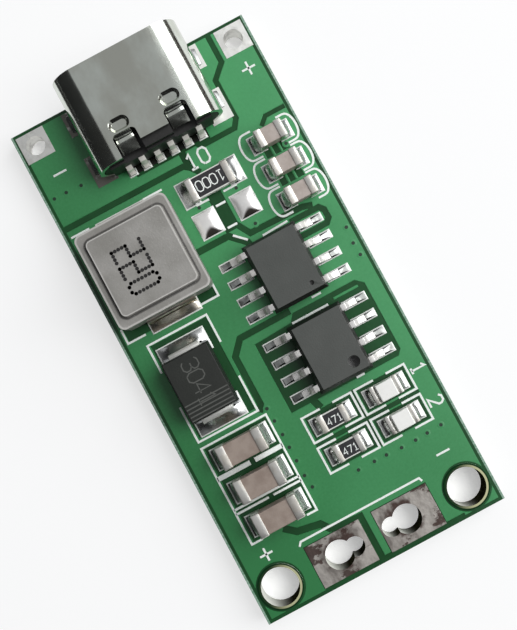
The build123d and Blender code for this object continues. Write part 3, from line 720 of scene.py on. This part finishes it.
dull_tin.bump(dull_tin.place.noise(2.5, 4.0), 0.03)
for node in ("battery_positive_terminal", "battery_ground_terminal"):
    dressed(node, dull_tin)


# The power socket: a shell folded from nickel plated steel round a black
# moulding, six plated contacts and the steel plate inside the tongue.
SHARP_EDGE = 28
SMOOTH_EDGE = 32


def softened(name, node, width, finish, steps=2):
    """A copy of a CAD node with its triangles joined and its edges rounded."""
    form = bmesh.new()
    form.from_mesh(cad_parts[node].data)
    bmesh.ops.remove_doubles(form, verts=form.verts, dist=1e-7)
    bmesh.ops.dissolve_limit(form, angle_limit=math.radians(0.8), verts=form.verts, edges=form.edges)
    edges = [e for e in form.edges
             if len(e.link_faces) == 2 and e.calc_face_angle() > math.radians(SHARP_EDGE)]
    bmesh.ops.bevel(form, geom=edges, offset=width * MM, segments=steps, profile=0.5, affect="EDGES",
                    clamp_overlap=True)
    piece = placed(name, form, finish, smooth=SMOOTH_EDGE)
    even = piece.modifiers.new("even normals", "WEIGHTED_NORMAL")
    even.keep_sharp = True
    settled(piece)
    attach(piece, "root")
    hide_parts(node)


steel = Finish("nickel plated steel", Metallic=1.0)
brushed = steel.place.stretched(1.0, 0.2, 1.0).noise(3.0, 4.0, 0.6)
haze = steel.place.stretched(1.0, 0.6, 1.0).noise(0.3, 4.0, 0.6).step(0.35, 0.65)
steel.set(Base_Color=haze.mix(chart(220, 226, 218), chart(198, 200, 190)), Roughness=brushed * 0.08 + 0.12)
# The roof of the shell is bumped, not raised, as if a little higher along its middle.
crown = 1 - (steel.place.part(0) * steel.place.part(0)).step(4.4, 12.5)
steel.bump(brushed * 0.015 + crown, 0.1)
softened("socket_shell_dressed", "socket_shell", 0.05, steel)
dressed("socket_mid_plate", steel)
nylon = Finish("black nylon", Roughness=0.5)
nylon.set(Base_Color=nylon.place.noise(5.0, 3.0).mix(chart(16, 16, 16), chart(30, 29, 28)))
nylon.bump(nylon.place.noise(9.0, 3.0), 0.006)
dressed("socket_insulator", nylon)
contact = Finish("plated contact", Metallic=0.15, Roughness=0.3)
contact.set(Base_Color=contact.place.noise(3.0, 2.0).mix(chart(250, 249, 244), chart(234, 229, 220)))
softened("socket_contacts_dressed", "socket_contacts", 0.05, contact)


# Solder: each joint is a tinned land with a hollow fillet drawn up against the
# lead or end cap, greyer where it froze rough. Two open lands each carry a bright
# heap with painted shade on its side towards the battery.
LAND_TOP = 1.66
SOLDER_FILM = 0.035
SOLDER_SMOOTH = 50
RIM_WIDTH = 0.08
RIM_DROP = 0.012
solder = tinned("reflowed solder", chart(204, 206, 205), chart(178, 180, 180), 0.12, 0.2)
land_rim = Finish("bare land rim", Metallic=0.2, Roughness=0.5)
land_rim.set(Base_Color=land_rim.place.noise(4.0).mix(chart(226, 230, 226), chart(240, 242, 238)))


def islands(node):
    """Lowest and highest corner of each separate solid in a CAD node, in millimetres."""
    form = bmesh.new()
    form.from_mesh(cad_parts[node].data)
    bmesh.ops.remove_doubles(form, verts=form.verts, dist=1e-7)
    left = set(form.verts)
    found = []
    while left:
        reached = [left.pop()]
        box = []
        while reached:
            vert = reached.pop()
            box.append(vert.co / MM)
            for edge in vert.link_edges:
                other = edge.other_vert(vert)
                if other in left:
                    left.remove(other)
                    reached.append(other)
        found.append((Vector(map(min, *box)), Vector(map(max, *box))))
    form.free()
    return sorted(found, key=lambda box: (round(box[0].y, 2), box[0].x))


def stations(size, count):
    """Places across a land: a narrow rim at both ends and even steps between."""
    inner = size / 2 - RIM_WIDTH
    return [-size / 2] + [inner * (2 * i / count - 1) for i in range(count + 1)] + [size / 2]


def land_solid(form, lines):
    """Closed solid from a grid of points down to the laminate; its outer faces are the bare rim."""
    grid = [[form.verts.new(Vector(p) * MM) for p in line] for line in lines]
    last, end = len(grid) - 1, len(grid[0]) - 1
    for i in range(last):
        for j in range(end):
            face = form.faces.new((grid[i][j], grid[i + 1][j], grid[i + 1][j + 1], grid[i][j + 1]))
            face.material_index = int(i in (0, last - 1) or j in (0, end - 1))
    rim = grid[0][:end] + [line[end] for line in grid[:last]]
    rim += grid[last][:0:-1] + [line[0] for line in grid[:0:-1]]
    feet = [form.verts.new((vert.co.x, vert.co.y, BOARD_TOP * MM)) for vert in rim]
    for i in range(len(rim)):
        j = (i + 1) % len(rim)
        form.faces.new((rim[i], rim[j], feet[j], feet[i])).material_index = 1
    form.faces.new(feet)


def solder_pool(form, box, out, toe, solder_width, slope):
    """Land and smooth fillet in a CAD joint's box; out is the way its toe points."""
    low, high = box
    out = Vector(out)
    side = Vector((-out.y, out.x))
    middle = (low.xy + high.xy) / 2
    length = abs((high.xy - low.xy).dot(out))
    width = abs((high.xy - low.xy).dot(side))
    climb = high.z - LAND_TOP - SOLDER_FILM
    lines = []
    for u in stations(length, 12):
        past = (u - (length / 2 - toe)) / (toe - RIM_WIDTH)
        fillet = climb * max(0.0, 1 - max(past, 0.0)) ** slope if past > -0.25 else 0.0
        line = []
        for v in stations(width, 8):
            on_rim = abs(2 * u) > length - RIM_WIDTH or abs(2 * v) > width - RIM_WIDTH
            film = SOLDER_FILM * ((1 - abs(2 * u / length) ** 8) * (1 - abs(2 * v / width) ** 8)) ** 0.5
            sag = max(0.0, 1 - abs(2 * v / solder_width) ** 4) ** 0.5 if abs(2 * v) < solder_width else 0.0
            height = LAND_TOP - RIM_DROP if on_rim else LAND_TOP + film + fillet * sag
            line.append((*(middle + out * u + side * v), min(height, high.z)))
        lines.append(line)
    land_solid(form, lines)


def soldered(name, node, toe, solder_width, slope=2.2, lengthwise=False, finish=solder):
    """All the joints of a CAD node as smooth pools, their toes away from the node's middle."""
    boxes = islands(node)
    centre = sum(((low + high) / 2 for low, high in boxes), Vector((0, 0, 0))) / len(boxes)
    form = bmesh.new()
    for low, high in boxes:
        away = (low + high) / 2 - centre
        out = (0, math.copysign(1, away.y)) if lengthwise else (math.copysign(1, away.x), 0)
        solder_pool(form, (low, high), out, toe, solder_width, slope)
    piece = placed(name, form, finish, SOLDER_SMOOTH, land_rim)
    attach(piece, "root")
    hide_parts(node)


softened("socket_leg_solder_dressed", "socket_leg_solder", 0.07, solder, steps=3)
form = bmesh.new()
for box in islands("socket_contact_joints"):
    solder_pool(form, box, out=(0, -1), toe=0.16, solder_width=0.5, slope=2.2)
contact_solder = placed("socket_contact_solder", form, solder, SOLDER_SMOOTH, land_rim)
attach(contact_solder, "root")
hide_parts("socket_contact_joints")
# Painted shade: a dark film on the laminate round the contacts' feet, where shade lies under and between
# them.
painted_shade_film = Finish("painted shade under the contacts", Roughness=0.25)
painted_shade_film.set(Base_Color=painted_shade_film.place.noise(3.0, 3.0).mix(chart(14, 15, 12), chart(30, 34, 26)))
form = bmesh.new()
low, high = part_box("socket_contact_joints")
painted_shade_film_y = low.y / MM + 0.42
line = ((low.x / MM - 0.2, painted_shade_film_y), (high.x / MM + 0.2, painted_shade_film_y))
ribbon(form, line, 0.7, BOARD_TOP - 0.02, BOARD_TOP + 0.02)
painted_shade_film_piece = placed("contact_painted_shade", form, painted_shade_film)
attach(painted_shade_film_piece, "root")


def mound(form, box, peak):
    """Open land under a smooth heap of solder; peak moves its top off the middle."""
    low, high = box
    middle = (low.xy + high.xy) / 2
    size = high.xy - low.xy
    lines = []
    for u in stations(size.x, 16):
        line = []
        for v in stations(size.y, 16):
            on_rim = abs(2 * u) > size.x - RIM_WIDTH or abs(2 * v) > size.y - RIM_WIDTH
            a, b = 2 * u / size.x, 2 * v / size.y
            rise = (1 - abs(a) ** (2.6 - peak * a)) * (1 - abs(b) ** (2.6 + peak * b))
            height = LAND_TOP - RIM_DROP if on_rim else LAND_TOP + (high.z - LAND_TOP) * rise
            line.append((*(middle + Vector((u, v))), height))
        lines.append(line)
    land_solid(form, lines)


form = bmesh.new()
for i, box in enumerate(islands("open_solder_lands")):
    mound(form, box, 0.9 - 0.7 * i)
heap = Finish("open land solder", Metallic=0.5, Roughness=0.25)
# Painted shade: the heap is dark where it faces -Y, towards the battery.
painted_heap_light_side = heap.normal.part(0).absolute() * 0.9 + heap.normal.part(1)
pale = heap.place.noise(3.0, 3.0).mix(chart(250, 249, 247), chart(232, 230, 228))
heap.set(Base_Color=painted_heap_light_side.step(-0.24, -0.05).mix(chart(64, 60, 56), pale))
heaps = placed("open_land_heaps", form, heap, SOLDER_SMOOTH, land_rim)
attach(heaps, "root")
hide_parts("open_solder_lands")


# The inductor: grey iron powder pressed round its winding, with a raised top,
# on two flat tinned terminals. Its value is dotted on in black ink.
INDUCTOR_MIDDLE = (-4.6, 6.35)
BODY_OUTLINE = (3.25, 3.35, 0.5)
CROWN_OUTLINE = (2.79, 2.77, 0.45)


def past_outline(finish, half_width, half_length, corner):
    """How far a place lies outside a rounded outline round the inductor's middle, in millimetres."""
    across = (finish.place.part(0) - INDUCTOR_MIDDLE[0]).absolute() - (half_width - corner)
    along = (finish.place.part(1) - INDUCTOR_MIDDLE[1]).absolute() - (half_length - corner)
    return across.most(0.0).slant(along.most(0.0)) - corner


def top_of(node):
    """Height of a CAD node's top in millimetres."""
    return round(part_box(node)[1].z / MM, 3)


powder = Finish("pressed iron powder", Metallic=0.35)
grain = powder.place.noise(7.0, 4.0, 0.7)
blotch = powder.place.noise(0.5, 3.0).step(0.3, 0.75)
speck = powder.place.noise(16.0, 2.0).step(0.62, 0.72)
grey = blotch.mix(chart(146, 144, 139), chart(166, 164, 160))
past_crown = past_outline(powder, *CROWN_OUTLINE)
past_body = past_outline(powder, *BODY_OUTLINE)
# Painted light on the raised top: a painted highlight along the inside of its step, painted shade in the
# groove at its foot, and a painted highlight along the body's top edges.
painted_lip_highlight = past_crown.step(-0.2, -0.15) * (1 - past_crown.step(-0.12, -0.07))
painted_groove_shade = past_crown.step(-0.06, 0.0) * (1 - past_crown.step(0.06, 0.15))
painted_rim_highlight = past_body.step(-0.16, -0.08) * powder.place.part(2).step(4.15, 4.25)
grey = (painted_groove_shade * 0.8).mix((painted_lip_highlight * 0.6).mix(grey, chart(226, 224, 220)), chart(58, 57, 55))
grey = (painted_rim_highlight * 0.6).mix(grey, chart(222, 220, 216))
powder.set(Base_Color=(speck * 0.4).mix(grey, chart(206, 204, 200)), Roughness=grain * 0.25 + 0.32)
powder.bump(grain, 0.012)
softened("inductor_body_dressed", "inductor_body", 0.135, powder, steps=3)
terminal = tinned("tinned terminal", chart(214, 208, 196), chart(176, 166, 150), 0.4, 0.3)
dressed("inductor_terminals", terminal)
soldered("inductor_solder", "inductor_joints", 0.55, 3.5, lengthwise=True, finish=terminal)

DOT_RADIUS = 0.12
DOT_PITCH = 0.25
DOT_HEIGHT = 0.012
SQUARE_DIGITS = {
    "2": (((0, 1), (1, 1), (1, 0.5), (0, 0.5), (0, 0), (1, 0)),),
    "0": (((0, 0.9), (0, 0.1), (0.25, 0), (0.75, 0), (1, 0.1), (1, 0.9), (0.75, 1), (0.25, 1), (0, 0.9)),),
}
value_nodes = Nodes("dotted value", {"Dot radius": "Float", "Dot height": "Float", "Ink": "Material"})
value_nodes.finish(dots(value_nodes, "Dot radius", "Dot radius", "Dot height", "Ink"))
black_ink = Finish("black marking ink", Roughness=0.6)
black_ink.set(Base_Color=black_ink.place.noise(10.0).mix(chart(14, 13, 13), chart(34, 32, 31)))


def dotted(line, pitch):
    """Points a pitch apart along a line."""
    found = []
    for start, end in zip(line, line[1:]):
        start, end = Vector(start), Vector(end)
        count = max(1, round((end - start).length / pitch))
        found += [start.lerp(end, i / count) for i in range(count + 1)]
    return found


level = top_of("inductor_body") - DOT_HEIGHT / 3
spots = []
for i, sign in enumerate("220"):
    for line in SQUARE_DIGITS[sign]:
        line = [(-6.05 + 1.95 * v, 7.65 - 1.13 * i - 0.72 * u) for u, v in line]
        spots += [(*p, level) for p in dotted(line, DOT_PITCH)]
value = value_nodes.run("inductor_value", spots, {
    "Dot radius": DOT_RADIUS * MM, "Dot height": DOT_HEIGHT * MM, "Ink": black_ink.material})
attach(value, "root")


# The diode: black epoxy with two leads folded under it. Laser bars across the
# top mark its cathode end.
epoxy = Finish("black epoxy", Specular_IOR_Level=0.4)
pits = epoxy.place.noise(11.0, 3.0, 0.6)
dark_grey = epoxy.place.noise(0.8, 3.0).mix(chart(28, 31, 28), chart(41, 44, 40))
# Painted shade: the upright sides are nearly black and darker than the top.
epoxy.set(Base_Color=epoxy.lying(0.75, 0.95).mix(chart(16, 16, 15), dark_grey), Roughness=pits * 0.3 + 0.42)
epoxy.bump(pits, 0.012)
softened("diode_body_dressed", "diode_body", 0.08, epoxy)
diode_lead = Finish("satin tin lead", Metallic=0.4, Roughness=0.4)
diode_lead.set(Base_Color=diode_lead.place.noise(2.5, 3.0).mix(chart(236, 237, 233), chart(210, 210, 204)))
softened("diode_leads_dressed", "diode_leads", 0.06, diode_lead)
soldered("diode_solder", "diode_joints", 0.75, 2.2, slope=1.6, lengthwise=True)
lasered = Finish("lasered epoxy", Roughness=0.8)
lasered.set(Base_Color=lasered.place.noise(12.0).mix(chart(72, 74, 71), chart(98, 100, 96)))
LASER_WIDTH = 0.08
CATHODE_BARS = (-3.05, -3.31, -3.57, -3.83, -4.09)
level = top_of("diode_body")
form = bmesh.new()
for y in CATHODE_BARS:
    ribbon(form, ((-6.6, y), (-3.56, y)), LASER_WIDTH, level - 0.01, level + 0.004)
for line in lettered("3041", -5.6, -0.5, 1.1, -90, 0.72):
    ribbon(form, line, LASER_WIDTH, level - 0.01, level + 0.003)
marks = placed("diode_marks", form, lasered)
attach(marks, "root")


# The two chips: dark grey epoxy with a first-lead mark, on gull-wing leads
# that are plated with tin.
moulding = Finish("grey epoxy", Specular_IOR_Level=0.45)
texture = moulding.place.noise(9.0, 4.0, 0.6)
# The first-lead marks are dark and smoother: a polished mark, and in the transistor's dimple painted shade
# as well.
controller_mark = 1 - around(moulding, 4.22, 0.125).step(0.13, 0.17)
transistor_dimple_polish_and_shade = 1 - around(moulding, 4.2, -5.58).step(0.32, 0.38)
first_lead_polish_and_shade = controller_mark + transistor_dimple_polish_and_shade
grey = moulding.place.noise(0.6, 3.0).mix(chart(68, 71, 68), chart(82, 85, 82))
# Painted shade: the upright sides are darker than the top.
grey = moulding.lying(0.75, 0.95).mix(chart(26, 24, 24), grey)
moulding.set(Base_Color=first_lead_polish_and_shade.mix(grey, chart(10, 10, 10)),
             Roughness=texture * 0.25 + 0.36 - first_lead_polish_and_shade * 0.2)
moulding.bump(texture, 0.01)
tin_lead = tinned("tin plated lead", chart(244, 243, 240), chart(224, 222, 218), 0.1, 0.22)
tin_lead.set(Metallic=0.5)
lead_solder = tinned("solder at the leads", chart(172, 174, 172), chart(120, 122, 120), 0.4, 0.12)
for chip in ("controller", "transistor"):
    softened(chip + "_body_dressed", chip + "_body", 0.06, moulding)
    softened(chip + "_leads_dressed", chip + "_leads", 0.03, tin_lead)
    soldered(chip + "_solder", chip + "_joints", 0.8, 0.42, slope=1.4, finish=lead_solder)


# Capacitors: fired brown ceramic between two tin plated end caps, three beside
# the socket and three larger ones beside the battery terminals.
def fired(name, dark, pale):
    """Matt ceramic with the cloudy colour of its firing."""
    finish = Finish(name, Roughness=0.42)
    finish.set(Base_Color=finish.place.noise(1.4, 4.0).step(0.3, 0.7).mix(dark, pale))
    finish.bump(finish.place.noise(10.0, 2.0), 0.008)
    return finish


ceramic = fired("fired ceramic", chart(140, 125, 115), chart(158, 144, 134))
pale_ceramic = fired("pale fired ceramic", chart(172, 160, 152), chart(188, 177, 170))
end_tin = tinned("end cap tin", chart(232, 230, 224), chart(206, 202, 194), 0.15, 0.28)
for row, toe, width, core in (("input", 0.52, 1.12, pale_ceramic), ("output", 0.5, 1.44, ceramic)):
    softened(row + "_cores_dressed", row + "_capacitor_cores", 0.04, core)
    softened(row + "_caps_dressed", row + "_capacitor_caps", 0.03, end_tin)
    soldered(row + "_capacitor_solder", row + "_capacitor_joints", toe, width)


# Resistors: white alumina with end caps and a black coat, printed in white with
# a plain number.
alumina = Finish("white alumina", Roughness=0.6)
alumina.set(Base_Color=alumina.place.noise(4.0).mix(chart(222, 222, 216), chart(238, 238, 234)))
coat = Finish("black overcoat", Roughness=0.35)
coat.set(Base_Color=coat.place.noise(5.0, 3.0).mix(chart(30, 30, 33), chart(46, 46, 49)))
coat.bump(coat.place.noise(5.0, 3.0), 0.01)
for node in ("sense_resistor_core", "light_resistor_cores"):
    dressed(node, alumina)
for node in ("sense_resistor_coat", "light_resistor_coats"):
    dressed(node, coat)
softened("sense_resistor_caps_dressed", "sense_resistor_caps", 0.03, end_tin)
softened("light_resistor_caps_dressed", "light_resistor_caps", 0.03, end_tin)
soldered("sense_resistor_solder", "sense_resistor_joints", 0.68, 1.44)
soldered("light_resistor_solder", "light_resistor_joints", 0.52, 1.12)
level = top_of("sense_resistor_coat")
form = bmesh.new()
for line in lettered("1000", 2.6, 9.55, 0.7, 180, 0.74):
    ribbon(form, line, 0.07, level - 0.01, level + 0.01)
level = top_of("light_resistor_coats")
for y in (-8.06, -10.23):
    for line in lettered("471", 0.87, y - 0.5, 0.46, 0, 0.8):
        ribbon(form, line, 0.055, level - 0.01, level + 0.01)
numbers = placed("resistor_numbers", form, ink)
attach(numbers, "root")


# The status lights: a white laminate base with a bright clip folded round each
# end, under a moulded lens of milky epoxy.
base = Finish("white light base", Roughness=0.5)
base.set(Base_Color=base.place.noise(4.0).mix(chart(226, 226, 218), chart(242, 242, 236)))
lens = Finish("milky lens", Roughness=0.22, Coat_Roughness=0.1)
lens.set(Base_Color=lens.place.noise(1.5, 3.0).mix(chart(246, 246, 242), chart(254, 254, 251)),
         Coat_Weight=lens.place.noise(3.0).step(0.2, 0.8) * 0.4 + 0.4)
dressed("status_light_bases", base)
softened("status_light_lenses_dressed", "status_light_lenses", 0.06, lens, steps=3)
softened("status_light_ends_dressed", "status_light_ends", 0.02, end_tin)
soldered("status_light_solder", "status_light_joints", 0.52, 1.12)
